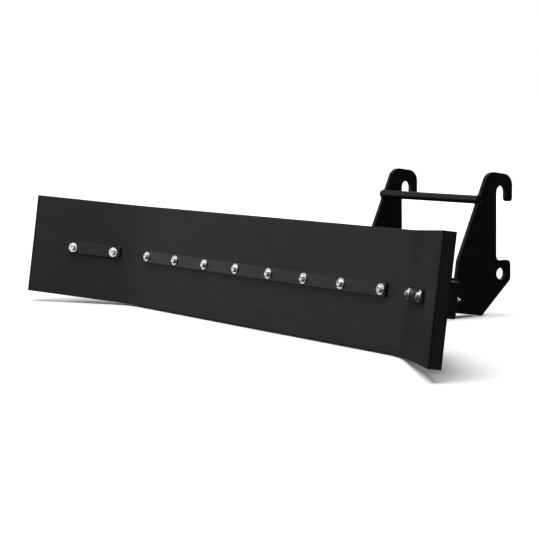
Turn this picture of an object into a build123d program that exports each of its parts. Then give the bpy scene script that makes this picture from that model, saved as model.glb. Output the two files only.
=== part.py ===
from build123d import *

import os
from math import cos, radians, sin, tan

# A rubber scraper blade on a welded steel carrier. A thick rubber strip with a straight middle
# and two wings turned forward is clamped at half its height between flat bars and a box beam.
# Two push arms join the beam to a pair of hitch plates with a hook on top and a pin eye below.
#
# Two sets of axes are used while building. In the blade's axes X runs along the blade, Y points
# back from its front face and Z runs up that face, from the middle of the blade. The upright
# axes share that origin and lean forward by LEAN against the blade: the hitch plates' back edges
# are vertical in them. The finished parts are moved so that the origin is on the floor, under
# the middle of the bounding box. All lengths are in mm and all angles in degrees.

# Rubber strip
BLADE_HEIGHT = 250
BLADE_THICKNESS = 25
HALF_STRAIGHT = 540
WING_LENGTH = 306
WING_ANGLE = 30
BEND_RADIUS = 149
LEAN = 8.7

# Clamp bars and bolts
STRIP_HEIGHT = 28
STRIP_THICKNESS = 6
BOLT_PITCH = 133
BOLT_COUNT = 8
CENTRE_STRIP_MARGIN = 14.5
WING_BOLTS = (58.5, 178.5)
WING_STRIP_MARGIN = 18
BOLT_DIAMETER = 8
BOLT_LENGTH = 80
BOLT_HOLE = 9
HEX_WIDTH = 13
HEAD_HEIGHT = 5.3
HEX_CHAMFER = 0.9
NUT_HEIGHT = 6.8
WASHER_DIAMETER = 24
WASHER_HOLE = 8.4
WASHER_THICKNESS = 2

# Box section of the beam and the push arms
TUBE_HEIGHT = 70
TUBE_DEPTH = 35
TUBE_WALL = 3
TUBE_CORNER = 5
WING_BEAM_LENGTH = 209
CAP_THICKNESS = 3
ARM_END = 528

# Hitch plates and the bar between them
HITCH_WIDTH = 360
PLATE_THICKNESS = 10
PLATE_BACK = 570
PLATE_FRONT = 445.7
PLATE_BOTTOM = -46.5
PLATE_TOP = 291.7
KINK_HEIGHT = 75.3
FRONT_SLOPE = 24.4
FOOT_SLOPE = 41.3
HOOK_GAP = 29
HOOK_HEIGHT = 162
HOOK_TIP = 138
HOOK_TIP_WIDTH = 21
HOOK_RADIUS = 28
TIP_RADIUS = 8
PIN_DIAMETER = 28
PIN_HEIGHT = -32
LUG_REACH = 30.5
LUG_RISE = 31.5
LUG_RADIUS = 12
FOOT_RADIUS = 4
BAR_DIAMETER = 20
BAR_HEIGHT = 146

SIDES = {"left": -1, "right": 1}
HALF_TURN = WING_ANGLE / 2
BEAM_FRONT = BLADE_THICKNESS
BEAM_BACK = BEAM_FRONT + TUBE_DEPTH
BEAM_MIDDLE = BEAM_FRONT + TUBE_DEPTH / 2
HITCH_AXIS = PLATE_BACK + HOOK_GAP / 2
CENTRE_BOLTS = [(i - (BOLT_COUNT - 1) / 2) * BOLT_PITCH for i in range(BOLT_COUNT)]


def upright(y, z):
    """Give the upright (y, z) of a point given in the blade's axes."""
    turn = radians(LEAN)
    return y * cos(turn) + z * sin(turn), z * cos(turn) - y * sin(turn)


def wing_place(side, distance):
    """Give the place on a wing at a distance from its bend, in the blade's axes."""
    turn = Location((side * HALF_STRAIGHT, 0, 0)) * Rotation(0, 0, -side * WING_ANGLE)
    return turn * Pos(side * distance, 0, 0)


def bolt_places(group):
    """Give where the bolts of one clamp bar pass through the blade's front face."""
    if group == "centre":
        return [Pos(x, 0, 0) for x in CENTRE_BOLTS]
    return [wing_place(SIDES[group], distance) for distance in WING_BOLTS]


def across(diameter, start, end):
    """Make a round solid along Y, from start to end."""
    standing = extrude(Circle(diameter / 2), end - start)
    return Pos(0, start, 0) * (Rotation(-90, 0, 0) * standing)


def hexagon(start, end):
    """Make a hexagonal solid along Y with flats above and below."""
    outline = RegularPolygon(HEX_WIDTH / 2, 6, major_radius=False, rotation=30)
    return Pos(0, end, 0) * (Rotation(90, 0, 0) * extrude(outline, end - start))


def drilled(shape, places, start, end):
    """Cut a bolt hole through a shape at each place."""
    for place in places:
        shape -= place * across(BOLT_HOLE, start, end)
    return shape


def rubber_blade():
    """Make the bent rubber strip, with a hole for each of its bolts."""
    turn = radians(WING_ANGLE)
    front_end = (HALF_STRAIGHT + WING_LENGTH * cos(turn), -WING_LENGTH * sin(turn))
    back_end = (front_end[0] + BLADE_THICKNESS * sin(turn), front_end[1] + BLADE_THICKNESS * cos(turn))
    back_corner = (HALF_STRAIGHT + BLADE_THICKNESS * tan(radians(HALF_TURN)), BLADE_THICKNESS)
    half = [(HALF_STRAIGHT, 0), front_end, back_end, back_corner]
    loop = half + [(-x, y) for x, y in reversed(half)]
    face = make_face(Polyline(*loop, close=True))
    for (x, y), radius in (((HALF_STRAIGHT, 0), BEND_RADIUS), (back_corner, BEND_RADIUS + BLADE_THICKNESS)):
        bends = [face.vertices().sort_by_distance((side * x, y, 0))[0] for side in SIDES.values()]
        face = fillet(bends, radius)
    strip = Pos(0, 0, -BLADE_HEIGHT / 2) * extrude(face, BLADE_HEIGHT)
    places = bolt_places("centre") + bolt_places("left") + bolt_places("right")
    return drilled(strip, places, -1, BLADE_THICKNESS + 1)


def clamp_strip(group):
    """Make one flat clamp bar with its holes."""
    if group == "centre":
        length = 2 * (CENTRE_BOLTS[-1] + CENTRE_STRIP_MARGIN)
        middle = Pos(0, 0, 0)
    else:
        length = WING_BOLTS[1] - WING_BOLTS[0] + 2 * WING_STRIP_MARGIN
        middle = wing_place(SIDES[group], sum(WING_BOLTS) / 2)
    bar = Pos(0, -STRIP_THICKNESS / 2, 0) * Box(length, STRIP_THICKNESS, STRIP_HEIGHT)
    bar = chamfer(bar.edges().filter_by(Axis.X), 0.5)
    return drilled(middle * bar, bolt_places(group), -STRIP_THICKNESS - 1, 1)


def bolt():
    """Make a hexagon-head bolt whose head sits in front of its washer."""
    seat = -STRIP_THICKNESS - WASHER_THICKNESS
    head = hexagon(seat - HEAD_HEIGHT, seat)
    cone = across(HEX_WIDTH + HEX_CHAMFER, seat - HEAD_HEIGHT, seat)
    crown = chamfer(cone.edges().sort_by(Axis.Y)[0], HEX_CHAMFER)
    shank = across(BOLT_DIAMETER, seat, seat + BOLT_LENGTH)
    return (head & crown) + chamfer(shank.edges().sort_by(Axis.Y)[-1], 0.8)


def washer():
    """Make the flat washer between a bolt's head and its clamp bar."""
    start = -STRIP_THICKNESS - WASHER_THICKNESS
    ring = across(WASHER_DIAMETER, start, start + WASHER_THICKNESS)
    return ring - across(WASHER_HOLE, start - 1, start + WASHER_THICKNESS + 1)


def nut():
    """Make the plain nut behind the beam, chamfered at both ends."""
    end = BEAM_BACK + NUT_HEIGHT
    barrel = across(HEX_WIDTH + HEX_CHAMFER, BEAM_BACK, end)
    barrel = chamfer(barrel.edges().filter_by(GeomType.CIRCLE), HEX_CHAMFER)
    body = hexagon(BEAM_BACK, end) & barrel
    return body - across(BOLT_DIAMETER, BEAM_BACK - 1, end + 1)


def fasteners(shape, group):
    """Copy one fastener to every bolt of a clamp bar, as separate solids."""
    return Compound(children=[place * shape for place in bolt_places(group)])


def box_tube(length):
    """Make a box tube along X from the origin, standing on its narrow side behind the blade."""
    outer = RectangleRounded(TUBE_DEPTH, TUBE_HEIGHT, TUBE_CORNER)
    walls = 2 * TUBE_WALL
    inner = RectangleRounded(TUBE_DEPTH - walls, TUBE_HEIGHT - walls, TUBE_CORNER - TUBE_WALL)
    return Plane.YZ * extrude(outer - inner, length)


def mitre_plane(side):
    """Give the plane on which the main beam and a wing beam meet, facing outwards."""
    turn = radians(HALF_TURN)
    return Plane(origin=(side * HALF_STRAIGHT, 0, 0), z_dir=(side * cos(turn), -sin(turn), 0))


def main_beam():
    """Make the straight beam behind the middle of the blade, mitred at both ends."""
    half_length = HALF_STRAIGHT + BEAM_BACK
    beam = Pos(-half_length, BEAM_MIDDLE, 0) * box_tube(2 * half_length)
    for side in SIDES.values():
        beam = split(beam, bisect_by=mitre_plane(side), keep=Keep.BOTTOM)
    return drilled(beam, bolt_places("centre"), BEAM_FRONT - 1, BEAM_BACK + 1)


def wing_beam(group):
    """Make the short beam behind one wing, mitred at the bend."""
    side = SIDES[group]
    length = WING_BEAM_LENGTH + BEAM_BACK
    tube = Pos(0 if side > 0 else -length, BEAM_MIDDLE, 0) * box_tube(length)
    beam = wing_place(side, -BEAM_BACK) * tube
    beam = split(beam, bisect_by=mitre_plane(side), keep=Keep.TOP)
    return drilled(beam, bolt_places(group), BEAM_FRONT - 1, BEAM_BACK + 1)


def end_cap(group):
    """Make the plate welded flush into the outer end of one wing beam."""
    side = SIDES[group]
    walls = 2 * TUBE_WALL
    outline = RectangleRounded(TUBE_DEPTH - walls, TUBE_HEIGHT - walls, TUBE_CORNER - TUBE_WALL)
    plate = Plane.YZ * extrude(outline, CAP_THICKNESS)
    start = WING_BEAM_LENGTH - CAP_THICKNESS if side > 0 else -WING_BEAM_LENGTH
    return wing_place(side, 0) * (Pos(start, BEAM_MIDDLE, 0) * plate)


def push_arm(side):
    """Make the arm from the main beam to the inner face of one hitch plate."""
    tube = Rotation(0, 0, 90) * box_tube(ARM_END - BEAM_BACK)
    middle = HITCH_WIDTH / 2 - PLATE_THICKNESS - TUBE_DEPTH / 2
    return Pos(side * middle, BEAM_BACK, 0) * tube


def front_edge(z):
    """Give the upright y of the hitch plate's sloping front edge at a height."""
    kink_y, kink_z = upright(PLATE_FRONT, KINK_HEIGHT)
    return kink_y + (z - kink_z) * tan(radians(FRONT_SLOPE))


def top_edge(y):
    """Give the upright height of the hitch plate's top edge, which is square to the blade."""
    return (PLATE_TOP - y * sin(radians(LEAN))) / cos(radians(LEAN))


def hook_front_corner():
    """Give the upright point where the plate's front and top edges would meet."""
    slope = tan(radians(FRONT_SLOPE))
    fall = tan(radians(LEAN))
    y = (front_edge(0) + slope * top_edge(0)) / (1 + slope * fall)
    return y, top_edge(y)


def foot_corner():
    """Give the upright point where a hitch plate touches the floor, level with the blade."""
    floor = upright(BLADE_THICKNESS, -BLADE_HEIGHT / 2)[1]
    reach = (PLATE_BOTTOM * cos(radians(LEAN)) - floor) / sin(radians(LEAN))
    return upright(reach, PLATE_BOTTOM)


def rounded_face(corners):
    """Make a face from its corner points, each a (y, z, radius)."""
    face = make_face(Polyline(*[(y, z) for y, z, _ in corners], close=True))
    for y, z, radius in corners:
        corner = face.vertices().sort_by_distance((y, z, 0))[0]
        face = fillet(corner, radius)
    return face


def hitch_plate(side):
    """Make one hitch plate, with its hook, pin eye, foot and the notch for the cross bar."""
    lug_back = HITCH_AXIS + LUG_REACH
    lug_top = PIN_HEIGHT + LUG_RISE
    hook_back = PLATE_BACK + HOOK_GAP + HOOK_TIP_WIDTH
    foot_y, foot_z = foot_corner()
    corners = [
        (*upright(PLATE_FRONT, PLATE_BOTTOM), FOOT_RADIUS),
        (foot_y, foot_z, FOOT_RADIUS),
        (lug_back, foot_z + (lug_back - foot_y) * tan(radians(FOOT_SLOPE)), LUG_RADIUS),
        (lug_back, lug_top, LUG_RADIUS),
        (PLATE_BACK, lug_top, LUG_RADIUS),
        (PLATE_BACK, HOOK_TIP, 0.5),
        (hook_back, HOOK_TIP, TIP_RADIUS),
        (hook_back, top_edge(hook_back), HOOK_RADIUS),
        (*hook_front_corner(), HOOK_RADIUS),
        (*upright(PLATE_FRONT, KINK_HEIGHT), LUG_RADIUS),
    ]
    face = rounded_face(corners)
    below = HOOK_HEIGHT - HOOK_TIP + HOOK_GAP
    gap = Pos(HITCH_AXIS, HOOK_HEIGHT - below / 2) * Rectangle(HOOK_GAP, below)
    face -= gap + Pos(HITCH_AXIS, HOOK_HEIGHT) * Circle(HOOK_GAP / 2)
    tip = face.vertices().sort_by_distance((PLATE_BACK + HOOK_GAP, HOOK_TIP, 0))[0]
    face = fillet(tip, TIP_RADIUS)
    face -= Pos(HITCH_AXIS, PIN_HEIGHT) * Circle(PIN_DIAMETER / 2)
    face -= Pos(front_edge(BAR_HEIGHT), BAR_HEIGHT) * Circle(BAR_DIAMETER / 2)
    inner = HITCH_WIDTH / 2 - PLATE_THICKNESS
    start = inner if side > 0 else -HITCH_WIDTH / 2
    return Pos(start, 0, 0) * (Plane.YZ * extrude(face, PLATE_THICKNESS))


def cross_bar():
    """Make the round bar that lies in the notches of both hitch plates."""
    bar = Rotation(0, 90, 0) * Cylinder(BAR_DIAMETER / 2, HITCH_WIDTH)
    return Pos(0, front_edge(BAR_HEIGHT), BAR_HEIGHT) * bar


def blade_parts():
    """Build every part that is made in the blade's axes."""
    parts = {"rubber_blade": rubber_blade(), "main_beam": main_beam()}
    for group in ("centre", "left", "right"):
        parts[group + "_clamp_strip"] = clamp_strip(group)
        parts[group + "_bolts"] = fasteners(bolt(), group)
        parts[group + "_washers"] = fasteners(washer(), group)
        parts[group + "_nuts"] = fasteners(nut(), group)
    for group, side in SIDES.items():
        parts[group + "_wing_beam"] = wing_beam(group)
        parts[group + "_end_cap"] = end_cap(group)
        parts[group + "_push_arm"] = push_arm(side)
    return {name: Rotation(-LEAN, 0, 0) * shape for name, shape in parts.items()}


def hitch_parts():
    """Build every part that is made in the upright axes."""
    plates = {group + "_hitch_plate": hitch_plate(side) for group, side in SIDES.items()}
    return plates | {"cross_bar": cross_bar()}


def main():
    """Build the blade, put its origin on the floor and write one STEP file per part."""
    parts = blade_parts() | hitch_parts()
    box = Compound([solid for shape in parts.values() for solid in shape.solids()]).bounding_box()
    shift = Pos(-box.center().X, -box.center().Y, -box.min.Z)
    os.makedirs("parts", exist_ok=True)
    for name, shape in parts.items():
        export_step(shift * shape, f"parts/{name}.step")
    print("size", box.size, "shift", shift.position)
    for label, height in (("hook seat", HOOK_HEIGHT), ("pin eye", PIN_HEIGHT)):
        print(label, Vector(0, HITCH_AXIS, height) + shift.position)


main()
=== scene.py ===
"""A rubber scraper blade on a welded hook-on carrier, detailed and finished around its CAD frame.

Lengths are in metres and angles in radians. Most pieces are modelled in the blade's own axes: X
along the blade, Y back from its front face and Z up that face, from the middle of the blade. The
hitch plates and their bar are modelled in upright axes with the same origin.
"""

import logging
import math
import random
from collections.abc import Callable, Iterator, Sequence
from contextlib import contextmanager
from dataclasses import dataclass, field
from enum import Enum

import bmesh
import bpy
from mathutils import Matrix, Vector


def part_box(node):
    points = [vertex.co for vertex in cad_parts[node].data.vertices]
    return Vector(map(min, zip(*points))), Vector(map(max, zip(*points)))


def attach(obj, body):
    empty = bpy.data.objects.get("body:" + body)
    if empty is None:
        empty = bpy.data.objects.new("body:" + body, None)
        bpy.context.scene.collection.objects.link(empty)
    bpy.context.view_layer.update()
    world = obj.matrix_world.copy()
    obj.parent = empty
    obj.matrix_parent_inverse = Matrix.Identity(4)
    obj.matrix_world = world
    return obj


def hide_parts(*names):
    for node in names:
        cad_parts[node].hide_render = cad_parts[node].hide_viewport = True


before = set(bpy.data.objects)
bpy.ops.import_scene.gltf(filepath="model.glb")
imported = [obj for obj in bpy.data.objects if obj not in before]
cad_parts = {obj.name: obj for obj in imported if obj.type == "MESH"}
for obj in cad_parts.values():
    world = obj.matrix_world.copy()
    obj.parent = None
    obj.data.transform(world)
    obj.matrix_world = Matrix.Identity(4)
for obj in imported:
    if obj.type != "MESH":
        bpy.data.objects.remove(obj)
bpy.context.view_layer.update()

Place = Callable[[Vector, Vector], bool]
Setting = dict[str, object]
log = logging.getLogger("scraper_blade")


class Side(Enum):
    """The two ends of the blade, as seen from in front of it."""

    LEFT = -1
    RIGHT = 1

    @property
    def word(self) -> str:
        """The side's name as the piece names use it."""
        return self.name.lower()


class Row(Enum):
    """The three rows of bolts, one for each clamp bar."""

    CENTRE = "centre"
    LEFT = "left"
    RIGHT = "right"


class Wire:
    """One output of a shader node, which can be used in sums and products."""

    def __init__(self, graph: "Graph", socket: bpy.types.NodeSocket) -> None:
        """Keeps the node tree and the socket that the wire leaves from."""
        self.graph = graph
        self.socket = socket

    def maths(self, operation: str, *others: "Wire | float", first: bool = True) -> "Wire":
        """Adds one Math node.

        Args:
            operation: The Math node's operation.
            others: The other inputs, in order.
            first: Whether this wire is the first input, or the second.

        Returns:
            The node's result.
        """
        values = [self, *others] if first else [*others, self]
        inputs = dict(enumerate(values))
        return self.graph.wire("ShaderNodeMath", {"operation": operation}, inputs)

    def __add__(self, other: "Wire | float") -> "Wire":
        """Adds a wire or a number."""
        return self.maths("ADD", other)

    def __sub__(self, other: "Wire | float") -> "Wire":
        """Takes a wire or a number away."""
        return self.maths("SUBTRACT", other)

    def __rsub__(self, other: float) -> "Wire":
        """Takes this wire away from a number."""
        return self.maths("SUBTRACT", other, first=False)

    def __mul__(self, other: "Wire | float") -> "Wire":
        """Multiplies by a wire or a number."""
        return self.maths("MULTIPLY", other)

    __radd__ = __add__
    __rmul__ = __mul__

    def size(self) -> "Wire":
        """Gives the value without its sign."""
        return self.maths("ABSOLUTE")

    def larger(self, other: "Wire") -> "Wire":
        """Gives the larger of two values."""
        return self.maths("MAXIMUM", other)

    def between(self, low: float, high: float) -> "Wire":
        """Gives 0 below low, 1 above high and a smooth step from one to the other."""
        settings = {"interpolation_type": "SMOOTHSTEP"}
        inputs = {"Value": self, "From Min": low, "From Max": high}
        return self.graph.wire("ShaderNodeMapRange", settings, inputs, "Result")


class Graph:
    """The node tree of one material, ending in a Principled shader."""

    def __init__(self, name: str) -> None:
        """Makes an empty material with a shader and an output."""
        self.material = bpy.data.materials.new(name)
        self.material.use_nodes = True
        self.tree = self.material.node_tree
        self.tree.nodes.clear()
        self.shader = self.node("ShaderNodeBsdfPrincipled")
        self.node("ShaderNodeOutputMaterial", None, {"Surface": Wire(self, self.shader.outputs[0])})

    def node(
        self, kind: str, settings: Setting | None = None, inputs: dict | None = None
    ) -> bpy.types.Node:
        """Adds one node of any kind.

        Args:
            kind: The node's type.
            settings: The node's own settings, which are made before its sockets are filled.
            inputs: A value or a wire for each socket, by name or number.

        Returns:
            The new node.
        """
        node = self.tree.nodes.new(kind)
        for name, value in (settings or {}).items():
            setattr(node, name, value)
        for name, value in (inputs or {}).items():
            self.feed(node.inputs[name], value)
        return node

    def feed(self, socket: bpy.types.NodeSocket, value: object) -> None:
        """Links a wire to a socket, or sets the socket's own value."""
        if isinstance(value, Wire):
            self.tree.links.new(value.socket, socket)
        else:
            socket.default_value = value

    def wire(self, kind: str, settings: Setting | None, inputs: dict, output: str | int = 0) -> Wire:
        """Adds one node and gives one of its outputs as a wire."""
        return Wire(self, self.node(kind, settings, inputs).outputs[output])

    def place(self) -> Wire:
        """Gives a point's place on its piece."""
        return self.wire("ShaderNodeTexCoord", None, {}, "Object")

    def stretched(self, place: Wire, scale: tuple[float, float, float]) -> Wire:
        """Scales a place along each axis, so that a pattern is drawn out along the others."""
        return self.wire("ShaderNodeVectorMath", {"operation": "MULTIPLY"}, {0: place, 1: scale})

    def parts(self, place: Wire) -> tuple[Wire, Wire, Wire]:
        """Splits a place into its three numbers."""
        node = self.node("ShaderNodeSeparateXYZ", None, {"Vector": place})
        return tuple(Wire(self, output) for output in node.outputs)

    def noise(self, place: Wire, scale: float, detail: float = 2.0, rough: float = 0.5) -> Wire:
        """Adds soft noise of about 0 to 1 at a scale in cycles per metre."""
        inputs = {"Vector": place, "Scale": scale, "Detail": detail, "Roughness": rough}
        return self.wire("ShaderNodeTexNoise", {"noise_dimensions": "3D"}, inputs, 0)

    def blend(self, amount: Wire, start: object, end: object) -> Wire:
        """Mixes two colours."""
        settings = {"data_type": "RGBA", "blend_type": "MIX"}
        return self.wire("ShaderNodeMix", settings, {0: amount, 6: start, 7: end}, 2)

    def bumps(self, height: Wire, depth: float, below: Wire | None = None) -> Wire:
        """Turns a height from 0 to 1 into bumps of a real depth."""
        inputs = {"Height": height, "Distance": depth, "Strength": 1.0}
        if below is not None:
            inputs["Normal"] = below
        return self.wire("ShaderNodeBump", None, inputs)

    def shade(self, **sockets: object) -> bpy.types.Material:
        """Fills the shader's sockets, with underscores for their spaces, and gives the material."""
        for name, value in sockets.items():
            self.feed(self.shader.inputs[name.replace("_", " ")], value)
        return self.material


def grey(value: float, warmth: float = 0.0) -> tuple[float, float, float, float]:
    """Gives a grey colour, a little redder and less blue for a positive warmth."""
    return value * (1 + warmth), value, value * (1 - warmth), 1.0


@dataclass(frozen=True)
class Rubber:
    """Black sheet rubber with woven plies that show where it is cut."""

    skin: float = 0.0105
    dusty: float = 0.0205
    cut: float = 0.0045
    fibre: float = 0.016
    roughness: float = 0.52
    half_height: float = 0.125
    half_run: float = 0.84
    plies: float = 160.0

    def make(self) -> bpy.types.Material:
        """Builds the finish, which follows the strip by its own run, depth and height.

        Returns:
            The material.
        """
        graph = Graph("rubber")
        place = graph.wire("ShaderNodeAttribute", {"attribute_name": "strip_place"}, {}, "Vector")
        run, depth, rise = graph.parts(place)
        clouds = graph.noise(graph.stretched(place, (1.0, 1.0, 1.8)), 4.5, 3.0)
        drawn = graph.noise(graph.stretched(place, (0.12, 1.0, 1.0)), 90.0, 3.0, 0.6)
        specks = graph.noise(place, 420.0, 2.0, 0.7).between(0.62, 0.8)
        dust = clouds * 0.75 + drawn * 0.25
        skin = graph.blend(dust.between(0.3, 0.72), grey(self.skin, 0.02), grey(self.dusty, 0.05))
        skin = graph.blend(specks * 0.35, skin, grey(self.dusty * 1.6, 0.04))
        fibres = graph.noise(graph.stretched(place, (0.12, 1.0, 0.045)), 900.0, 3.0, 0.7)
        weave = (depth * self.plies * math.tau).maths("SINE") * 0.5 + 0.5
        cover = 1 - (depth.between(0.0052, 0.0064) * (1 - depth.between(0.0196, 0.0208)))
        torn = (weave * 0.45 + fibres * 0.75 - cover * 0.5).between(0.35, 0.95)
        cut_skin = graph.blend(torn, grey(self.cut, 0.08), grey(self.fibre, 0.18))
        ends = run.size().between(self.half_run - 0.0008, self.half_run - 0.0003)
        edges = rise.size().between(self.half_height - 0.0008, self.half_height - 0.0003)
        cut = ends.larger(edges)
        grain = graph.noise(place, 1500.0, 2.0, 0.6)
        lines = drawn * 0.4 + grain * 0.6
        bumps = graph.bumps(lines * (1 - cut), 0.00012)
        bumps = graph.bumps(torn * cut, 0.0005, bumps)
        roughness = self.roughness + clouds * 0.22 - drawn * 0.10 + cut * 0.25
        return graph.shade(
            Base_Color=graph.blend(cut, skin, cut_skin),
            Roughness=roughness,
            Specular_IOR_Level=0.32,
            Normal=bumps,
        )


@dataclass(frozen=True)
class BlackPaint:
    """Satin black powder coat with a faint orange-peel surface and thinner, duller rims."""

    coat: float = 0.0045
    rim: float = 0.030
    roughness: float = 0.38

    def make(self) -> bpy.types.Material:
        """Builds the finish.

        Returns:
            The material.
        """
        graph = Graph("black_paint")
        place = graph.place()
        rim = graph.wire("ShaderNodeAttribute", {"attribute_name": "rim"}, {}, "Fac")
        mottle = graph.noise(place, 28.0, 3.0)
        peel = graph.noise(place, 520.0, 1.0, 0.4)
        nicks = graph.noise(place, 160.0, 4.0, 0.7).between(0.5, 0.75)
        cool = (self.coat * 0.92, self.coat * 0.95, self.coat * 1.2, 1.0)
        coat = graph.blend(mottle.between(0.3, 0.7), cool, grey(self.coat * 1.5))
        coat = graph.blend(rim * (0.35 + nicks * 0.65), coat, grey(self.rim, 0.03))
        roughness = self.roughness + mottle * 0.1 + rim * 0.1
        return graph.shade(
            Base_Color=coat,
            Roughness=roughness,
            Specular_IOR_Level=0.34,
            Coat_Weight=0.08,
            Coat_Roughness=0.25,
            Normal=graph.bumps(peel, 0.00006),
        )


@dataclass(frozen=True)
class Zinc:
    """Bright zinc plate, a little cloudy, with fine marks from the spanner."""

    colour: tuple[float, float, float, float] = (0.80, 0.82, 0.84, 1.0)
    clouded: tuple[float, float, float, float] = (0.58, 0.60, 0.62, 1.0)
    roughness: float = 0.24

    def make(self) -> bpy.types.Material:
        """Builds the finish.

        Returns:
            The material.
        """
        graph = Graph("zinc")
        place = graph.place()
        clouds = graph.noise(place, 260.0, 3.0)
        marks = graph.noise(graph.stretched(place, (1.0, 0.15, 1.0)), 2600.0, 2.0, 0.6)
        roughness = self.roughness + clouds * 0.16 + marks * 0.06
        return graph.shade(
            Base_Color=graph.blend(clouds.between(0.45, 0.75), self.colour, self.clouded),
            Metallic=1.0,
            Roughness=roughness,
            Normal=graph.bumps(marks, 0.00003),
        )


@dataclass(frozen=True)
class Floor:
    """The pale studio floor."""

    colour: tuple[float, float, float, float] = (0.95, 0.95, 0.95, 1.0)

    def make(self) -> bpy.types.Material:
        """Builds the finish.

        Returns:
            The material.
        """
        graph = Graph("studio_floor")
        return graph.shade(Base_Color=self.colour, Roughness=0.9, Specular_IOR_Level=0.1)


class Finishes:
    """Every finish of the object, built once."""

    def __init__(self) -> None:
        """Builds the materials."""
        self.rubber = Rubber().make()
        self.paint = BlackPaint().make()
        self.zinc = Zinc().make()


def clear_selection() -> None:
    """Deselects every object, so that the next operator acts on nothing else."""
    for item in list(bpy.context.selected_objects):
        item.select_set(False)


def take(piece: bpy.types.Object) -> None:
    """Makes a piece the only selected object and the active one."""
    clear_selection()
    piece.select_set(True)
    bpy.context.view_layer.objects.active = piece


@contextmanager
def editing(piece: bpy.types.Object, kind: str) -> Iterator[None]:
    """Opens a piece in edit mode for its vertices, edges or faces, and closes it again."""
    take(piece)
    bpy.ops.object.mode_set(mode="EDIT")
    bpy.ops.mesh.select_mode(type=kind)
    yield
    bpy.ops.object.mode_set(mode="OBJECT")


def choose(piece: bpy.types.Object, kind: str, test: Place) -> None:
    """Selects in edit mode what passes a test, and nothing else.

    Args:
        piece: The piece that is open in edit mode.
        kind: VERT, EDGE or FACE.
        test: Given the middle of each, and its direction or normal, says whether to select it.
    """
    mesh = bmesh.from_edit_mesh(piece.data)
    for part in [*mesh.verts, *mesh.edges, *mesh.faces]:
        part.select = False
    if kind == "VERT":
        chosen = [v for v in mesh.verts if test(v.co, v.normal)]
    elif kind == "EDGE":
        ends = [(e, *(v.co for v in e.verts)) for e in mesh.edges]
        chosen = [e for e, a, b in ends if test((a + b) / 2, (b - a).normalized())]
    else:
        chosen = [f for f in mesh.faces if test(f.calc_center_median(), f.normal)]
    for part in chosen:
        part.select_set(True)
    mesh.select_flush_mode()
    bmesh.update_edit_mesh(piece.data)


def runs_along(axis: int) -> Place:
    """Gives a test for edges that run along an axis."""
    return lambda middle, direction: abs(direction[axis]) > 0.99


def faces_along(axis: int) -> Place:
    """Gives a test for faces that look along an axis, either way."""
    return lambda middle, normal: abs(normal[axis]) > 0.99


def block(name: str, low: Sequence[float], high: Sequence[float]) -> bpy.types.Object:
    """Adds a box between its lowest and highest corners."""
    clear_selection()
    middle = [(a + b) / 2 for a, b in zip(low, high)]
    size = [b - a for a, b in zip(low, high)]
    bpy.ops.mesh.primitive_cube_add(size=1, location=middle, scale=size)
    return named(name)


def rod(
    name: str, radius: float, start: float, end: float, sides: int = 48, turn: float = 0.0
) -> bpy.types.Object:
    """Adds a round or many-sided rod along Y.

    Args:
        name: The rod's name.
        radius: Its radius, to the corners.
        start: Where it starts along Y.
        end: Where it ends along Y.
        sides: How many sides it has.
        turn: How far it is turned about its axis.

    Returns:
        The rod.
    """
    clear_selection()
    bpy.ops.mesh.primitive_cylinder_add(
        vertices=sides,
        radius=radius,
        depth=end - start,
        location=(0, (start + end) / 2, 0),
        rotation=(math.pi / 2, turn, 0),
    )
    return named(name)


def named(name: str) -> bpy.types.Object:
    """Names the newest primitive and puts its place into its mesh."""
    piece = bpy.context.object
    piece.name = name
    piece.data.name = name
    bpy.ops.object.transform_apply(location=True, rotation=True, scale=True)
    return piece


def finish_with(piece: bpy.types.Object, kind: str, **settings: object) -> None:
    """Adds one modifier to a piece and applies it."""
    take(piece)
    modifier = piece.modifiers.new(kind.lower(), kind)
    for name, value in settings.items():
        setattr(modifier, name, value)
    bpy.ops.object.modifier_apply(modifier=modifier.name)


def round_rims(piece: bpy.types.Object, width: float, segments: int = 2, angle: float = 35.0) -> None:
    """Rounds every sharp edge of a piece."""
    finish_with(
        piece,
        "BEVEL",
        width=width,
        segments=segments,
        limit_method="ANGLE",
        angle_limit=math.radians(angle),
        use_clamp_overlap=True,
    )


def carve(piece: bpy.types.Object, cutter: bpy.types.Object, operation: str = "DIFFERENCE") -> None:
    """Cuts a piece with another, or keeps only what they share, and removes the cutter."""
    finish_with(piece, "BOOLEAN", operation=operation, object=cutter, solver="EXACT")
    bpy.data.objects.remove(cutter)


def face_outwards(piece: bpy.types.Object) -> None:
    """Merges doubled points and turns every face outwards."""
    with editing(piece, "FACE"):
        bpy.ops.mesh.select_all(action="SELECT")
        bpy.ops.mesh.remove_doubles(threshold=0.00001)
        bpy.ops.mesh.normals_make_consistent(inside=False)


def copy_to(piece: bpy.types.Object, name: str, place: Matrix) -> bpy.types.Object:
    """Copies a piece with its own mesh, and puts the copy's place into that mesh."""
    twin = piece.copy()
    twin.data = piece.data.copy()
    twin.name = name
    twin.data.name = name
    bpy.context.scene.collection.objects.link(twin)
    twin.data.transform(place)
    return twin


def mark_rims(piece: bpy.types.Object, flat: float) -> None:
    """Stores where a piece's rounded rims are, for its finish.

    Args:
        piece: The finished piece.
        flat: The area in square metres from which a face counts as flat and not as part of a rim.
    """
    mesh = piece.data
    rims = [1.0] * len(mesh.vertices)
    for face in mesh.polygons:
        if face.area > flat:
            for corner in face.vertices:
                rims[corner] = 0.0
    attribute = mesh.attributes.new("rim", "FLOAT", "POINT")
    attribute.data.foreach_set("value", rims)


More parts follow.
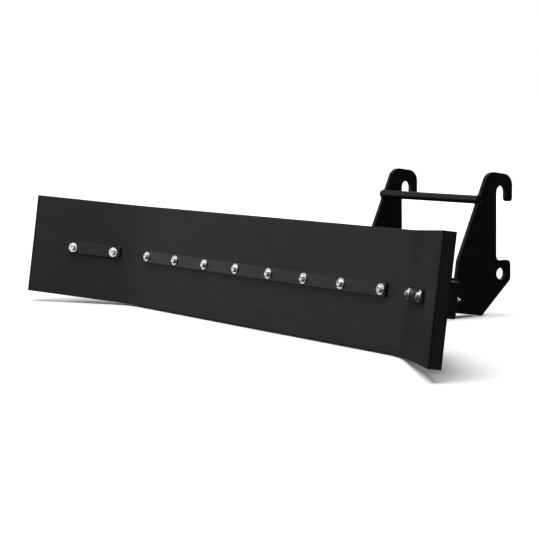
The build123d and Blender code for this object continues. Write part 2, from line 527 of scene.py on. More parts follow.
def deliver(
    piece: bpy.types.Object,
    material: bpy.types.Material,
    nodes: Sequence[str] = (),
    smooth: float = 35.0,
) -> bpy.types.Object:
    """Finishes a piece: smooth shading, finish, its body and the CAD nodes that it stands for.

    Args:
        piece: The piece, in its place.
        material: Its finish.
        nodes: The CAD nodes that it replaces.
        smooth: The angle in degrees under which neighbouring faces are shaded as one.

    Returns:
        The piece.
    """
    take(piece)
    piece.data.materials.clear()
    piece.data.materials.append(material)
    bpy.ops.object.shade_smooth_by_angle(angle=math.radians(smooth))
    finish_with(piece, "WEIGHTED_NORMAL", keep_sharp=True, weight=80)
    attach(piece, "root")
    if nodes:
        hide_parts(*nodes)
    log.info("%s: %d faces", piece.name, len(piece.data.polygons))
    return piece


@dataclass(frozen=True)
class BladeAxes:
    """Where the blade's own axes lie in the row frame."""

    height: float = 0.250
    thickness: float = 0.025
    half_straight: float = 0.540
    wing_angle: float = math.radians(30)
    lean: float = math.radians(8.7)

    @property
    def origin(self) -> Vector:
        """The middle of the blade's front face, from the box of the CAD blade."""
        low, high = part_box("rubber_blade")
        rise, reach = math.cos(self.lean), math.sin(self.lean)
        back = high.y - self.thickness * rise - self.height / 2 * reach
        return Vector((0, back, low.z + self.height / 2 * rise + self.thickness * reach))

    @property
    def leaning(self) -> Matrix:
        """Takes the blade's axes to the row frame."""
        return self.upright @ Matrix.Rotation(-self.lean, 4, "X")

    @property
    def upright(self) -> Matrix:
        """Takes the upright axes to the row frame."""
        return Matrix.Translation(self.origin)

    def on_wing(self, side: Side) -> Matrix:
        """Takes a wing's axes, which start at its bend, to the blade's axes."""
        corner = Matrix.Translation((side.value * self.half_straight, 0, 0))
        return corner @ Matrix.Rotation(-side.value * self.wing_angle, 4, "Z")

    def to_upright(self, y: float, z: float) -> tuple[float, float]:
        """Gives the upright y and z of a point in the blade's axes."""
        turned = Matrix.Rotation(-self.lean, 3, "X") @ Vector((0, y, z))
        return turned.y, turned.z


@dataclass
class RubberBlade:
    """The bent rubber strip, cut from ply-reinforced sheet."""

    axes: BladeAxes
    finishes: Finishes
    wing_length: float = 0.306
    bend_radius: float = 0.149
    edge_round: float = 0.0012
    columns: int = 22
    rows: int = 9
    layers: int = 7
    bend_steps: int = 10
    wing_steps: int = 9
    ply_relief: float = 0.00045
    waviness: float = 0.0009
    bolt_hole: float = 0.0045

    @property
    def setback(self) -> float:
        """How far from the corner, along the front face, the bend starts and ends."""
        return self.bend_radius * math.tan(self.axes.wing_angle / 2)

    @property
    def half_run(self) -> float:
        """The front face's length from the middle to one end."""
        bend = self.bend_radius * self.axes.wing_angle
        return self.axes.half_straight + self.wing_length - 2 * self.setback + bend

    def build(self, bolts: "Fasteners") -> bpy.types.Object:
        """Models the strip with its bolt holes and puts it in place.

        Args:
            bolts: The fasteners that pass through it.

        Returns:
            The finished strip.
        """
        half_height = self.axes.height / 2
        start = self.axes.half_straight - self.setback
        low, high = (0, 0, -half_height), (start, self.axes.thickness, half_height)
        strip = block("rubber_strip", low, high)
        self.divide(strip)
        self.bend_wing(strip, start)
        take(strip)
        finish_with(strip, "MIRROR", use_axis=(True, False, False), use_clip=True)
        face_outwards(strip)
        self.store_places(strip)
        self.roughen(strip)
        for place in bolts.places():
            cutter = rod("bolt_hole", self.bolt_hole, -0.01, 0.04, 20)
            cutter.data.transform(place)
            carve(strip, cutter)
        strip.data.transform(self.axes.leaning)
        return deliver(strip, self.finishes.rubber, ["rubber_blade"], 30)

    def divide(self, strip: bpy.types.Object) -> None:
        """Rounds the long edges of the straight half and divides it into columns, rows and layers."""
        divisions = ((0, self.columns), (2, self.rows), (1, self.layers))
        for axis, parts in divisions:
            with editing(strip, "EDGE"):
                choose(strip, "EDGE", runs_along(axis))
                bpy.ops.mesh.subdivide(number_cuts=parts - 1)
        corners = (0.0, self.axes.thickness)
        half_height = self.axes.height / 2
        with editing(strip, "EDGE"):
            choose(
                strip,
                "EDGE",
                lambda middle, direction: abs(direction.x) > 0.99
                and min(abs(middle.y - corner) for corner in corners) < 1e-5
                and abs(abs(middle.z) - half_height) < 1e-5,
            )
            bpy.ops.mesh.bevel(offset=self.edge_round, segments=2, affect="EDGES")

    def bend_wing(self, strip: bpy.types.Object, start: float) -> None:
        """Spins the end of the straight half round the bend and draws the wing out of it."""
        angle = self.axes.wing_angle
        along = Vector((math.cos(angle), -math.sin(angle), 0))
        step = (self.wing_length - self.setback) / self.wing_steps
        with editing(strip, "FACE"):
            choose(strip, "FACE", lambda middle, normal: normal.x > 0.99 and middle.x > start - 1e-4)
            bpy.ops.mesh.spin(
                steps=self.bend_steps,
                angle=angle,
                center=(start, -self.bend_radius, 0),
                axis=(0, 0, 1),
            )
            for _ in range(self.wing_steps):
                bpy.ops.mesh.extrude_region_move(TRANSFORM_OT_translate={"value": step * along})
            choose(strip, "FACE", lambda middle, normal: normal.x < -0.99 and middle.x < 1e-4)
            bpy.ops.mesh.delete(type="FACE")

    def unrolled(self, point: Vector) -> tuple[float, float, float]:
        """Gives a point's run along the front face from the middle, its depth and its height."""
        side = math.copysign(1, point.x)
        reach = abs(point.x)
        start = self.axes.half_straight - self.setback
        if reach <= start:
            return point.x, point.y, point.z
        across, out = reach - start, point.y + self.bend_radius
        angle = min(math.atan2(across, out), self.axes.wing_angle)
        bend = self.bend_radius * angle
        depth = across * math.sin(angle) + out * math.cos(angle) - self.bend_radius
        beyond = across * math.cos(angle) - out * math.sin(angle)
        return side * (start + bend + max(beyond, 0.0)), depth, point.z

    def store_places(self, strip: bpy.types.Object) -> None:
        """Stores each point's place on the unrolled strip, for the finish."""
        attribute = strip.data.attributes.new("strip_place", "FLOAT_VECTOR", "POINT")
        for vertex in strip.data.vertices:
            attribute.data[vertex.index].vector = self.unrolled(vertex.co)

    def roughen(self, strip: bpy.types.Object) -> None:
        """Gives the cut sides the relief of their plies, and the faces a slight waviness."""
        layer = self.axes.thickness / self.layers
        limit_run, limit_rise = self.half_run - 1e-4, self.axes.height / 2 - 1e-4
        chance = random.Random(11)
        for number in range(1, self.layers):
            sunk = chance.uniform(0.2, 1.0) * self.ply_relief

            def on_ply(point: Vector, normal: Vector, depth: float = number * layer) -> bool:
                """Says whether a point lies on one line between plies of a cut side."""
                run, inwards, rise = self.unrolled(point)
                cut = abs(run) > limit_run or abs(rise) > limit_rise
                return cut and abs(inwards - depth) < 1e-4

            with editing(strip, "VERT"):
                choose(strip, "VERT", on_ply)
                bpy.ops.transform.shrink_fatten(value=-sunk)
        waves = bpy.data.textures.new("sheet_waves", "CLOUDS")
        waves.noise_scale = 0.28
        finish_with(
            strip,
            "DISPLACE",
            texture=waves,
            strength=self.waviness,
            mid_level=0.5,
            direction="Y",
            texture_coords="LOCAL",
        )


@dataclass
class Fasteners:
    """The bolts, washers and nuts of the three clamp bars."""

    axes: BladeAxes
    finishes: Finishes
    rows: tuple[Row, ...] = tuple(Row)
    pitch: float = 0.133
    count: int = 8
    wing_bolts: tuple[float, float] = (0.0585, 0.1785)
    strip: float = 0.006
    beam_back: float = 0.060
    hex_width: float = 0.013
    hex_chamfer: float = 0.0009
    head: float = 0.0053
    shank: float = 0.004
    length: float = 0.080
    thread: float = 0.022
    thread_pitch: float = 0.00125
    thread_depth: float = 0.0007
    rim: float = 0.00015
    washer_rim: float = 0.00035
    washer: float = 0.012
    washer_hole: float = 0.0042
    washer_thickness: float = 0.002
    nut: float = 0.0068

    def row_places(self, row: Row) -> list[Matrix]:
        """Gives where the bolts of one row pass through the blade's front face."""
        if row is Row.CENTRE:
            first = -(self.count - 1) / 2 * self.pitch
            return [Matrix.Translation((first + i * self.pitch, 0, 0)) for i in range(self.count)]
        wing = Side.LEFT if row is Row.LEFT else Side.RIGHT
        matrix = self.axes.on_wing(wing)
        return [matrix @ Matrix.Translation((wing.value * reach, 0, 0)) for reach in self.wing_bolts]

    def places(self) -> list[Matrix]:
        """Gives the places of every bolt, row after row."""
        return [place for row in self.rows for place in self.row_places(row)]

    def hexagon(self, name: str, start: float, end: float) -> bpy.types.Object:
        """Models a hexagonal prism with flats above and below, chamfered at its front end."""
        corner = self.hex_width / math.sqrt(3)
        body = rod(name, corner, start, end, 6, math.radians(30))
        crown = rod("crown", self.hex_width / 2 + self.hex_chamfer / 2, start, end + 0.001, 48)
        with editing(crown, "EDGE"):
            choose(crown, "EDGE", lambda middle, direction: middle.y < start + 1e-6)
            bpy.ops.mesh.bevel(offset=self.hex_chamfer, segments=1, affect="EDGES")
        carve(body, crown, "INTERSECT")
        return body

    def model_bolt(self) -> bpy.types.Object:
        """Models one bolt: dished hexagon head, washer face, shank and thread."""
        seat = -self.strip - self.washer_thickness
        head = self.hexagon("bolt", seat - self.head, seat - 0.0004)
        round_rims(head, self.rim, 2, 20)
        with editing(head, "FACE"):
            choose(head, "FACE", lambda middle, normal: normal.y < -0.9999)
            bpy.ops.mesh.inset(thickness=0.0014, use_even_offset=False)
            bpy.ops.mesh.inset(thickness=0.0006, depth=-0.00035, use_even_offset=False)
        face = rod("washer_face", self.hex_width / 2 - 0.0004, seat - 0.0005, seat, 48)
        return self.joined(head, [face, self.model_shank(seat)])

    def model_shank(self, seat: float) -> bpy.types.Object:
        """Models the shank, plain at first and then threaded up to its chamfered end."""
        end = seat + self.length
        rings = round(self.thread / self.thread_pitch * 4)
        shank = rod("shank", self.shank, seat - 0.0002, end, 24)
        with editing(shank, "EDGE"):
            choose(shank, "EDGE", runs_along(1))
            bpy.ops.mesh.subdivide(number_cuts=1)
            half = (seat - 0.0002 + end) / 2
            choose(shank, "VERT", lambda point, normal: abs(point.y - half) < 1e-5)
            bpy.ops.transform.translate(value=(0, end - self.thread - half, 0))
            choose(
                shank,
                "EDGE",
                lambda middle, direction: abs(direction.y) > 0.99 and middle.y > end - self.thread,
            )
            bpy.ops.mesh.subdivide(number_cuts=rings - 1)
        for vertex in shank.data.vertices:
            self.cut_thread(vertex, end)
        return shank

    def cut_thread(self, vertex: bpy.types.MeshVertex, end: float) -> None:
        """Moves one point of the shank in by the depth of the thread there."""
        from_end = end - vertex.co.y
        if from_end > self.thread - 1e-5:
            return
        around = math.atan2(vertex.co.x, vertex.co.z) / math.tau
        phase = (vertex.co.y / self.thread_pitch + around) % 1.0
        groove = self.thread_depth * (1 - abs(2 * phase - 1)) * min(1.0, (self.thread - from_end) / 0.003)
        chamfer = max(0.0, 0.0011 - from_end)
        scale = 1 - max(groove, chamfer) / self.shank
        vertex.co.x *= scale
        vertex.co.z *= scale

    def ring(self, name: str, outer: float, inner: float, start: float, end: float) -> bpy.types.Object:
        """Models a flat ring along Y, such as a washer."""
        ring = rod(name, outer, start, end, 48)
        with editing(ring, "FACE"):
            choose(ring, "FACE", faces_along(1))
            bpy.ops.mesh.inset(thickness=outer - inner)
            bpy.ops.mesh.bridge_edge_loops()
        return ring

    def model_washer(self, start: float) -> bpy.types.Object:
        """Models one washer whose front face is at start."""
        end = start + self.washer_thickness
        washer = self.ring("washer", self.washer, self.washer_hole, start, end)
        round_rims(washer, self.washer_rim, 3)
        return washer

    def model_nut(self) -> bpy.types.Object:
        """Models one plain nut, chamfered at both ends and bored for its bolt."""
        seat, end = self.beam_back, self.beam_back + self.nut
        body = self.hexagon("nut", seat, end)
        back = rod("crown", self.hex_width / 2 + self.hex_chamfer / 2, seat - 0.001, end, 48)
        with editing(back, "EDGE"):
            choose(back, "EDGE", lambda middle, direction: middle.y > end - 1e-6)
            bpy.ops.mesh.bevel(offset=self.hex_chamfer, segments=1, affect="EDGES")
        carve(body, back, "INTERSECT")
        carve(body, rod("bore", self.shank, seat - 0.001, end + 0.001, 24))
        round_rims(body, self.rim, 2, 20)
        return body

    def joined(self, first: bpy.types.Object, others: list[bpy.types.Object]) -> bpy.types.Object:
        """Joins pieces into the first one."""
        take(first)
        for other in others:
            other.select_set(True)
        bpy.ops.object.join()
        return first

    def build(self) -> None:
        """Models each kind of fastener once and copies it to every bolt place."""
        front = -self.strip - self.washer_thickness
        kinds = {
            "bolt": (self.model_bolt(), "bolts"),
            "washer": (self.model_washer(front), "washers"),
            "nut": (self.model_nut(), "nuts"),
        }
        chance = random.Random(5)
        for word, (pattern, nodes) in kinds.items():
            for row in self.rows:
                for number, place in enumerate(self.row_places(row), 1):
                    turn = Matrix.Rotation(chance.uniform(-0.5, 0.5), 4, "Y")
                    spot = self.axes.leaning @ place @ turn
                    copy = copy_to(pattern, f"{row.value}_{word}_{number}", spot)
                    deliver(copy, self.finishes.zinc, [f"{row.value}_{nodes}"], 30)
            bpy.data.objects.remove(pattern)


@dataclass
class ClampStrips:
    """The three flat bars that press the rubber against the beams."""

    axes: BladeAxes
    finishes: Finishes
    bolts: Fasteners
    height: float = 0.028
    thickness: float = 0.006
    centre_margin: float = 0.0145
    wing_margin: float = 0.018
    rim: float = 0.0007
    hole: float = 0.0045

    def build(self) -> None:
        """Models the three bars and puts them in place."""
        for row in Row:
            places = self.bolts.row_places(row)
            first, last = places[0].translation, places[-1].translation
            margin = self.centre_margin if row is Row.CENTRE else self.wing_margin
            half = (last - first).length / 2 + margin
            half_height = self.height / 2
            low, high = (-half, -self.thickness, -half_height), (half, 0, half_height)
            bar = block(f"{row.value}_clamp_bar", low, high)
            turn = places[0].to_3x3().to_4x4()
            middle = Matrix.Translation((first + last) / 2) @ turn
            bar.data.transform(middle)
            for place in places:
                cutter = rod("bolt_hole", self.hole, -0.01, 0.01, 24)
                cutter.data.transform(place)
                carve(bar, cutter)
            round_rims(bar, self.rim, 3)
            mark_rims(bar, 0.00002)
            bar.data.transform(self.axes.leaning)
            deliver(bar, self.finishes.paint, [f"{row.value}_clamp_strip"])


@dataclass
class WeldBead:
    """A weld bead with the ripples that the torch leaves."""

    finishes: Finishes
    pitch: float = 0.0024
    steps: int = 4
    swell: float = 0.14

    def lay(
        self,
        name: str,
        paths: Sequence[Sequence[Vector]],
        radius: float,
        place: Matrix,
        closed: bool = False,
    ) -> bpy.types.Object:
        """Lays beads along paths and makes them one piece.

        Args:
            name: The piece's name.
            paths: The corner points of each bead.
            radius: The bead's mean radius.
            place: Takes the paths' axes to the row frame.
            closed: Whether each bead runs back to its start.

        Returns:
            The piece.
        """
        clear_selection()
        chance = random.Random(name)
        curve = bpy.data.curves.new(name, "CURVE")
        curve.dimensions = "3D"
        curve.bevel_depth = radius
        curve.bevel_resolution = 2
        curve.use_fill_caps = not closed
        for path in paths:
            self.draw(curve, self.spaced(path, closed), chance, closed)
        bead = bpy.data.objects.new(name, curve)
        bpy.context.scene.collection.objects.link(bead)
        take(bead)
        bpy.ops.object.convert(target="MESH")
        bead = bpy.context.object
        face_outwards(bead)
        bead.data.transform(place)
        return deliver(bead, self.finishes.paint, (), 60)

    def spaced(self, path: Sequence[Vector], closed: bool) -> list[Vector]:
        """Gives points along a path, a quarter of a ripple apart."""
        corners = [*path, path[0]] if closed else list(path)
        points = []
        for start, end in zip(corners, corners[1:]):
            count = max(1, round((end - start).length / self.pitch * self.steps))
            points += [start.lerp(end, i / count) for i in range(count)]
        return points if closed else [*points, corners[-1]]

    def draw(
        self, curve: bpy.types.Curve, points: list[Vector], chance: random.Random, closed: bool
    ) -> None:
        """Adds one bead to a curve, its radius swelling at each ripple."""
        spline = curve.splines.new("POLY")
        spline.points.add(len(points) - 1)
        spline.use_cyclic_u = closed
        for number, (point, spot) in enumerate(zip(spline.points, points)):
            ripple = (number % self.steps) / self.steps
            point.co = (*spot, 1.0)
            near_end = 0 if closed else max(0, 3 - min(number, len(points) - 1 - number))
            point.radius = 1 + self.swell * (ripple - 0.5) + chance.uniform(-0.05, 0.05) - 0.16 * near_end


@dataclass
class Carrier:
    """The welded box beams behind the rubber and the two push arms behind them."""

    axes: BladeAxes
    finishes: Finishes
    bolts: Fasteners
    welds: WeldBead
    tube_height: float = 0.070
    tube_depth: float = 0.035
    wall: float = 0.003
    corner: float = 0.005
    wing_beam: float = 0.209
    cap: float = 0.003
    arm_end: float = 0.528
    arm_middle: float = 0.1525
    rim: float = 0.0006
    hole: float = 0.0045
    mitre_bead: float = 0.0028
    arm_bead: float = 0.0032
    cap_bead: float = 0.0014
    weld_inset: float = 0.001

    @property
    def back(self) -> float:
        """How far behind the blade's front face the beams end."""
        return self.axes.thickness + self.tube_depth

    def skin(self, name: str, start: float, end: float) -> bpy.types.Object:
        """Models the outer skin of a box tube along X, open at both ends."""
        top = self.tube_height / 2
        tube = block(name, (start, self.axes.thickness, -top), (end, self.back, top))
        with editing(tube, "EDGE"):
            choose(tube, "EDGE", runs_along(0))
            bpy.ops.mesh.bevel(offset=self.corner, segments=6, affect="EDGES")
        with editing(tube, "FACE"):
            choose(tube, "FACE", faces_along(0))
            bpy.ops.mesh.delete(type="FACE")
        return tube

    def mitre(self, tube: bpy.types.Object, side: Side, keep_middle: bool) -> None:
        """Cuts a tube on the plane where the beams meet at a bend."""
        half = self.axes.wing_angle / 2
        outwards = (side.value * math.cos(half), -math.sin(half), 0)
        with editing(tube, "FACE"):
            bpy.ops.mesh.select_all(action="SELECT")
            bpy.ops.mesh.bisect(
                plane_co=(side.value * self.axes.half_straight, 0, 0),
                plane_no=outwards,
                clear_outer=keep_middle,
                clear_inner=not keep_middle,
            )

    def finish_tube(self, tube: bpy.types.Object, rows: Sequence[Row], node: str) -> None:
        """Gives a tube its wall, its bolt holes and its rims, and puts it in place."""
        finish_with(tube, "SOLIDIFY", thickness=self.wall, offset=-1, use_even_offset=True)
        for place in (place for row in rows for place in self.bolts.row_places(row)):
            cutter = rod("bolt_hole", self.hole, 0, 0.08, 20)
            cutter.data.transform(place)
            carve(tube, cutter)
        round_rims(tube, self.rim, 2)
        mark_rims(tube, 0.000008)
        tube.data.transform(self.axes.leaning)
        deliver(tube, self.finishes.paint, [node])

    def build(self) -> None:
        """Models the beams, the arms and their welds."""
        reach = self.axes.half_straight + self.back
        beam = self.skin("beam_middle", -reach, reach)
        for side in Side:
            self.mitre(beam, side, True)
        self.finish_tube(beam, [Row.CENTRE], "main_beam")
        for side in Side:
            self.build_wing_beam(side)
            self.build_end_cap(side)
            self.build_arm(side)
            self.weld_mitre(side)
            self.weld_arm(side)

    def build_wing_beam(self, side: Side) -> None:
        """Models the short beam behind one wing."""
        ends = sorted((-side.value * self.back, side.value * self.wing_beam))
        tube = self.skin(f"beam_{side.word}_wing", *ends)
        tube.data.transform(self.axes.on_wing(side))
        self.mitre(tube, side, False)
        row = Row.LEFT if side is Side.LEFT else Row.RIGHT
        self.finish_tube(tube, [row], f"{side.word}_wing_beam")

    def build_end_cap(self, side: Side) -> None:
        """Models the plate in the outer end of one wing beam, and the bead round it."""
        start, end = sorted((side.value * (self.wing_beam - self.cap), side.value * self.wing_beam))
        low, high = self.axes.thickness + self.wall, self.back - self.wall
        top, corner = self.tube_height / 2 - self.wall, self.corner - self.wall
        cap = block(f"end_cap_{side.word}", (start, low, -top), (end, high, top))
        with editing(cap, "EDGE"):
            choose(cap, "EDGE", runs_along(0))
            bpy.ops.mesh.bevel(offset=corner, segments=4, affect="EDGES")
        round_rims(cap, self.rim / 2, 2)
        mark_rims(cap, 0.000008)
        place = self.axes.leaning @ self.axes.on_wing(side)
        cap.data.transform(place)
        deliver(cap, self.finishes.paint, [f"{side.word}_end_cap"])
        outline = [(low + corner, top), (high - corner, top), (high, top - corner), (high, corner - top)]
        outline += [(high - corner, -top), (low + corner, -top), (low, corner - top), (low, top - corner)]
        path = [Vector((side.value * self.wing_beam, y, z)) for y, z in outline]
        self.welds.lay(f"cap_weld_{side.word}", [path], self.cap_bead, place, True)

    def build_arm(self, side: Side) -> None:
        """Models the arm from the main beam to one hitch plate."""
        arm = self.skin(f"arm_{side.word}", 0, self.arm_end - self.back)
        centring = Matrix.Translation((0, -self.axes.thickness - self.tube_depth / 2, 0))
        turn = Matrix.Rotation(math.pi / 2, 4, "Z") @ centring
        arm.data.transform(Matrix.Translation((side.value * self.arm_middle, self.back, 0)) @ turn)
        self.finish_tube(arm, [], f"{side.word}_push_arm")

    def weld_mitre(self, side: Side) -> None:
        """Lays the bead over, behind and under the joint of the beams at one bend."""
        slope = math.tan(self.axes.wing_angle / 2)
        top, inset = self.tube_height / 2, self.corner * 0.3
        stops = [
            (self.axes.thickness + 0.004, top),
            (self.back - self.corner, top),
            (self.back - inset, top - inset),
            (self.back, top - self.corner),
        ]
        stops += [(y, -z) for y, z in reversed(stops)]
        path = [Vector((side.value * (self.axes.half_straight + y * slope), y, z)) for y, z in stops]
        self.welds.lay(f"mitre_weld_{side.word}", [path], self.mitre_bead, self.axes.leaning)

    def weld_arm(self, side: Side) -> None:
        """Lays the bead round the front end of one arm, where it meets the main beam."""
        half_width, top, cut = self.tube_depth / 2, self.tube_height / 2 - 0.001, self.corner * 0.6
        outline = [
            (-half_width, -top + cut),
            (-half_width, top - cut),
            (-half_width + cut, top),
            (half_width - cut, top),
            (half_width, top - cut),
            (half_width, -top + cut),
            (half_width - cut, -top),
            (-half_width + cut, -top),
        ]
        middle = side.value * self.arm_middle
        inset = {True: -self.weld_inset, False: self.weld_inset}
        path = [Vector((middle + x, self.back + inset[abs(z) == top], z)) for x, z in outline]
        self.welds.lay(f"arm_weld_{side.word}", [path], self.arm_bead, self.axes.leaning, True)


@dataclass
class Hitch:
    """The two hitch plates with their hooks and pin eyes, and the bar let into them."""

    axes: BladeAxes
    finishes: Finishes
    welds: WeldBead
    carrier: Carrier
    width: float = 0.360
    plate: float = 0.010
    back: float = 0.570
    front: float = 0.4457
    bottom: float = -0.0465
    top: float = 0.2917
    kink: float = 0.0753
    front_slope: float = math.radians(24.4)
    foot_slope: float = math.radians(41.3)
    gap: float = 0.029
    seat: float = 0.162
    tip: float = 0.138
    tip_width: float = 0.021
    hook_radius: float = 0.028
    tip_radius: float = 0.008
    pin: float = 0.014
    pin_height: float = -0.032
    lug_reach: float = 0.0305
    lug_rise: float = 0.0315
    lug_radius: float = 0.012
    foot_radius: float = 0.004
    bar: float = 0.010
    bar_height: float = 0.146
    rim: float = 0.0009
    bar_rim: float = 0.0012
    bar_bead: float = 0.0022
    plate_bead: float = 0.0034

    @property
    def axis(self) -> float:
        """The upright y of the hook's seat and the pin eye."""
        return self.back + self.gap / 2

    def front_edge(self, z: float) -> float:
        """Gives the upright y of the sloping front edge at a height."""
        kink_y, kink_z = self.axes.to_upright(self.front, self.kink)
        return kink_y + (z - kink_z) * math.tan(self.front_slope)

    def top_edge(self, y: float) -> float:
        """Gives the upright height of the top edge, which is square to the blade."""
        return (self.top - y * math.sin(self.axes.lean)) / math.cos(self.axes.lean)

    def hook_corner(self) -> tuple[float, float]:
        """Gives the upright point where the front and top edges would meet."""
        slope, fall = math.tan(self.front_slope), math.tan(self.axes.lean)
        y = (self.front_edge(0) + slope * self.top_edge(0)) / (1 + slope * fall)
        return y, self.top_edge(y)

    def foot_corner(self) -> tuple[float, float]:
        """Gives the upright point where the plate stands on the floor."""
        floor = self.axes.to_upright(self.axes.thickness, -self.axes.height / 2)[1]
        reach = (self.bottom * math.cos(self.axes.lean) - floor) / math.sin(self.axes.lean)
        return self.axes.to_upright(reach, self.bottom)

    def outline(self) -> list[tuple[float, float, float]]:
        """Gives the plate's corners in order, each with its upright y, z and radius."""
        lug_back = self.axis + self.lug_reach
        lug_top = self.pin_height + self.lug_rise
        hook_back = self.back + self.gap + self.tip_width
        crown = self.seat + self.gap / 2
        foot_y, foot_z = self.foot_corner()
        lug_low = foot_z + (lug_back - foot_y) * math.tan(self.foot_slope)
        slot_radius = self.gap / 2 * 0.995
        return [
            (*self.axes.to_upright(self.front, self.bottom), self.foot_radius),
            (foot_y, foot_z, self.foot_radius),
            (lug_back, lug_low, self.lug_radius),
            (lug_back, lug_top, self.lug_radius),
            (self.back, lug_top, self.lug_radius),
            (self.back, crown, slot_radius),
            (self.back + self.gap, crown, slot_radius),
            (self.back + self.gap, self.tip, self.tip_radius),
            (hook_back, self.tip, self.tip_radius),
            (hook_back, self.top_edge(hook_back), self.hook_radius),
            (*self.hook_corner(), self.hook_radius),
            (*self.axes.to_upright(self.front, self.kink), self.lug_radius),
        ]

    def model_plate(self, side: Side) -> bpy.types.Object:
        """Models one plate: its cornered outline, rounded, thickened, bored and rimmed."""
        corners = self.outline()
        clear_selection()
        bpy.ops.mesh.primitive_circle_add(vertices=len(corners), radius=0.1, fill_type="NGON")
        plate = named(f"hitch_plate_{side.word}")
        inner = self.width / 2 - self.plate
        start = inner if side is Side.RIGHT else -self.width / 2
        for vertex, (y, z, _) in zip(plate.data.vertices, corners):
            vertex.co = (start, y, z)
        for number, (y, z, radius) in enumerate(corners):
            before, after = corners[number - 1], corners[(number + 1) % len(corners)]
            spot = Vector((start, y, z))
            back, ahead = Vector((start, *before[:2])) - spot, Vector((start, *after[:2])) - spot
            setback = radius / math.tan(back.angle(ahead) / 2)
            with editing(plate, "VERT"):
                choose(plate, "VERT", lambda point, normal, spot=spot: (point - spot).length < 1e-5)
                bpy.ops.mesh.bevel(offset=setback, segments=10, affect="VERTICES")
        with editing(plate, "FACE"):
            bpy.ops.mesh.select_all(action="SELECT")
            bpy.ops.mesh.extrude_region_move(TRANSFORM_OT_translate={"value": (self.plate, 0, 0)})
        face_outwards(plate)
        for y, z, radius in ((self.axis, self.pin_height, self.pin), (*self.bar_place(), self.bar)):
            cutter = rod("bore", radius, -0.3, 0.3, 48)
            cutter.data.transform(Matrix.Translation((0, y, z)) @ Matrix.Rotation(math.pi / 2, 4, "Z"))
            carve(plate, cutter)
        round_rims(plate, self.rim, 3, 50)
        mark_rims(plate, 0.000003)
        return plate

    def bar_place(self) -> tuple[float, float]:
        """Gives the upright y and z of the cross bar's axis."""
        return self.front_edge(self.bar_height), self.bar_height

    def build(self) -> None:
        """Models the plates, the bar and their welds."""
        for side in Side:
            plate = self.model_plate(side)
            plate.data.transform(self.axes.upright)
            deliver(plate, self.finishes.paint, [f"{side.word}_hitch_plate"])
            self.weld_bar(side)
            self.weld_plate(side)
        self.build_bar()

    def build_bar(self) -> None:
        """Models the round bar between the plates."""
        bar = rod("hitch_bar", self.bar, -self.width / 2, self.width / 2, 48)
        turn = Matrix.Rotation(math.pi / 2, 4, "Z")
        bar.data.transform(Matrix.Translation((0, *self.bar_place())) @ turn)
        round_rims(bar, self.bar_rim, 3)
        mark_rims(bar, 0.00002)
        bar.data.transform(self.axes.upright)
        deliver(bar, self.finishes.paint, ["cross_bar"])

    def weld_bar(self, side: Side) -> None:
        """Lays the beads that hold one end of the bar in its plate."""
        y, z = self.bar_place()
        start = math.pi / 2 - self.front_slope
        steps = 14
        turns = [start - math.pi * i / steps for i in range(steps + 1)]
        paths = []
        for x, radius in ((self.width / 2 - self.plate, self.bar + 0.0008), (self.width / 2, self.bar)):
            ring = [(y + radius * math.cos(turn), z + radius * math.sin(turn)) for turn in turns]
            paths.append([Vector((side.value * x, *spot)) for spot in ring])
        for turn in (turns[0] + 0.1, turns[-1] - 0.1):
            spot = (y + 0.0108 * math.cos(turn), z + 0.0108 * math.sin(turn))
            ends = (self.width / 2 - self.plate, self.width / 2)
            paths.append([Vector((side.value * x, *spot)) for x in ends])
        self.welds.lay(f"bar_weld_{side.word}", paths, self.bar_bead, self.axes.upright)

    def weld_plate(self, side: Side) -> None:
        """Lays the beads along the top and bottom of one arm, against its plate."""
        x = side.value * (self.width / 2 - self.plate - 0.001)
        start, end = self.front + 0.008, self.carrier.arm_end - 0.004
        height = self.carrier.tube_height / 2 - 0.0012
        paths = [[Vector((x, y, z)) for y in (start, end)] for z in (height, -height)]
        self.welds.lay(f"plate_weld_{side.word}", paths, self.plate_bead, self.axes.leaning)


@dataclass(frozen=True)
class SoftBox:
    """A soft studio light that points at a place."""

    name: str
    place: tuple[float, float, float]
    target: tuple[float, float, float]
    width: float
    height: float
    power: float

    def hang(self) -> None:
        """Adds the light to the scene."""
        lamp = bpy.data.lights.new(self.name, "AREA")
        lamp.shape = "RECTANGLE"
        lamp.size, lamp.size_y = self.width, self.height
        lamp.energy = self.power
        light = bpy.data.objects.new(self.name, lamp)
        bpy.context.scene.collection.objects.link(light)
        light.location = self.place
        aim = Vector(self.target) - Vector(self.place)
        light.rotation_euler = aim.to_track_quat("-Z", "Y").to_euler()


@dataclass(frozen=True)
class Skylight:
    """Even, very soft light from one direction, over the floor and the object alike."""

    name: str
    direction: tuple[float, float, float]
    strength: float
    spread: float

    def hang(self) -> None:
        """Adds the light to the scene."""
        lamp = bpy.data.lights.new(self.name, "SUN")
        lamp.energy = self.strength
        lamp.angle = self.spread
        light = bpy.data.objects.new(self.name, lamp)
        bpy.context.scene.collection.objects.link(light)
        light.rotation_euler = Vector(self.direction).to_track_quat("-Z", "Y").to_euler()


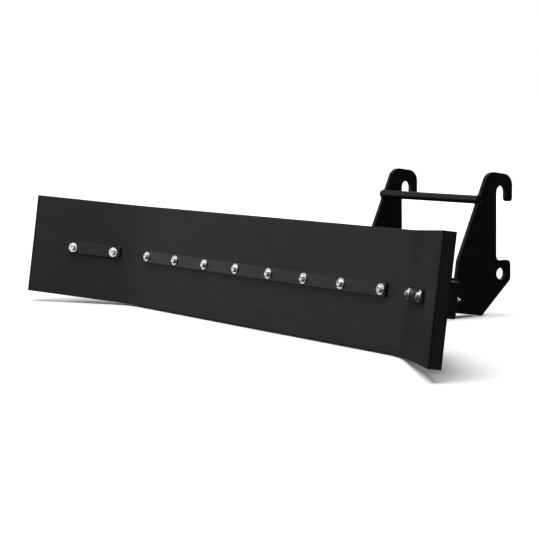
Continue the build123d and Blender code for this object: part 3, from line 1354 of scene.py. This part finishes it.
@dataclass
class Studio:
    """The pale floor, the soft lights, the surroundings and the camera."""

    target: tuple[float, float, float] = (0.0206, -0.1945, 0.1301)
    distance: float = 3.6043
    azimuth: float = math.radians(55.49)
    elevation: float = math.radians(5.917)
    roll: float = math.radians(-0.772)
    lens: float = 106.67
    floor_size: float = 60.0
    surround: float = 0.03
    lights: list[SoftBox | Skylight] = field(default_factory=list)

    def build(self) -> None:
        """Sets up the studio round the object."""
        self.lay_floor()
        self.paint_surround()
        for light in self.lights:
            light.hang()
        self.set_camera()
        view = bpy.context.scene.view_settings
        view.view_transform = "Standard"

    def lay_floor(self) -> None:
        """Lays the floor under the object."""
        clear_selection()
        bpy.ops.mesh.primitive_plane_add(size=self.floor_size, location=(0, 0, -0.0005))
        floor = named("studio_floor")
        floor.data.materials.append(Floor().make())
        floor.visible_glossy = False
        floor.visible_diffuse = False

    def paint_surround(self) -> None:
        """Makes the surroundings white to look at, and dim as a light."""
        world = bpy.data.worlds.new("studio")
        bpy.context.scene.world = world
        world.use_nodes = True
        nodes, links = world.node_tree.nodes, world.node_tree.links
        nodes.clear()
        path = nodes.new("ShaderNodeLightPath")
        strength = nodes.new("ShaderNodeMapRange")
        strength.inputs["To Min"].default_value = self.surround
        strength.inputs["To Max"].default_value = 1.0
        sky = nodes.new("ShaderNodeBackground")
        output = nodes.new("ShaderNodeOutputWorld")
        links.new(path.outputs["Is Camera Ray"], strength.inputs["Value"])
        links.new(strength.outputs["Result"], sky.inputs["Strength"])
        links.new(sky.outputs[0], output.inputs["Surface"])
        sky.inputs["Color"].default_value = (1, 1, 1, 1)

    def set_camera(self) -> None:
        """Places the camera and makes it the scene's own."""
        level = math.cos(self.elevation)
        backwards = Vector(
            (
                math.sin(self.azimuth) * level,
                -math.cos(self.azimuth) * level,
                math.sin(self.elevation),
            )
        )
        turn = backwards.to_track_quat("Z", "Y").to_matrix().to_4x4()
        lens = bpy.data.cameras.new("camera")
        lens.lens = self.lens
        lens.sensor_width = 36
        camera = bpy.data.objects.new("camera", lens)
        bpy.context.scene.collection.objects.link(camera)
        spot = Matrix.Translation(Vector(self.target) + backwards * self.distance)
        camera.matrix_world = spot @ turn @ Matrix.Rotation(self.roll, 4, "Z")
        bpy.context.scene.camera = camera


def lights() -> list[SoftBox | Skylight]:
    """Gives the studio's lights."""
    middle = (0.0, -0.1, 0.15)
    return [
        SoftBox("key", (-0.7, -3.9, 1.6), middle, 2.6, 2.0, 35.0),
        SoftBox("left_fill", (-4.2, -2.7, 1.1), middle, 2.2, 2.4, 22.0),
        SoftBox("right_fill", (4.2, 0.6, 1.6), middle, 1.6, 1.6, 9.0),
        SoftBox("front_fill", (3.6, -2.6, 1.3), middle, 1.4, 1.4, 6.0),
        SoftBox("back", (-0.6, 4.6, 2.0), middle, 2.6, 2.0, 42.0),
        SoftBox("back_left", (-3.2, 3.8, 1.7), middle, 2.4, 2.0, 48.0),
        Skylight("overhead", (0.1, 0.15, -1.0), 3.7, math.radians(60)),
    ]


def main() -> None:
    """Builds the object's sub-assemblies and the studio in order."""
    logging.basicConfig(level=logging.INFO, format="%(name)s: %(message)s")
    finishes = Finishes()
    axes = BladeAxes()
    bolts = Fasteners(axes, finishes)
    welds = WeldBead(finishes)
    RubberBlade(axes, finishes).build(bolts)
    ClampStrips(axes, finishes, bolts).build()
    bolts.build()
    carrier = Carrier(axes, finishes, bolts, welds)
    carrier.build()
    Hitch(axes, finishes, welds, carrier).build()
    Studio(lights=lights()).build()


if __name__ == "__main__":
    main()
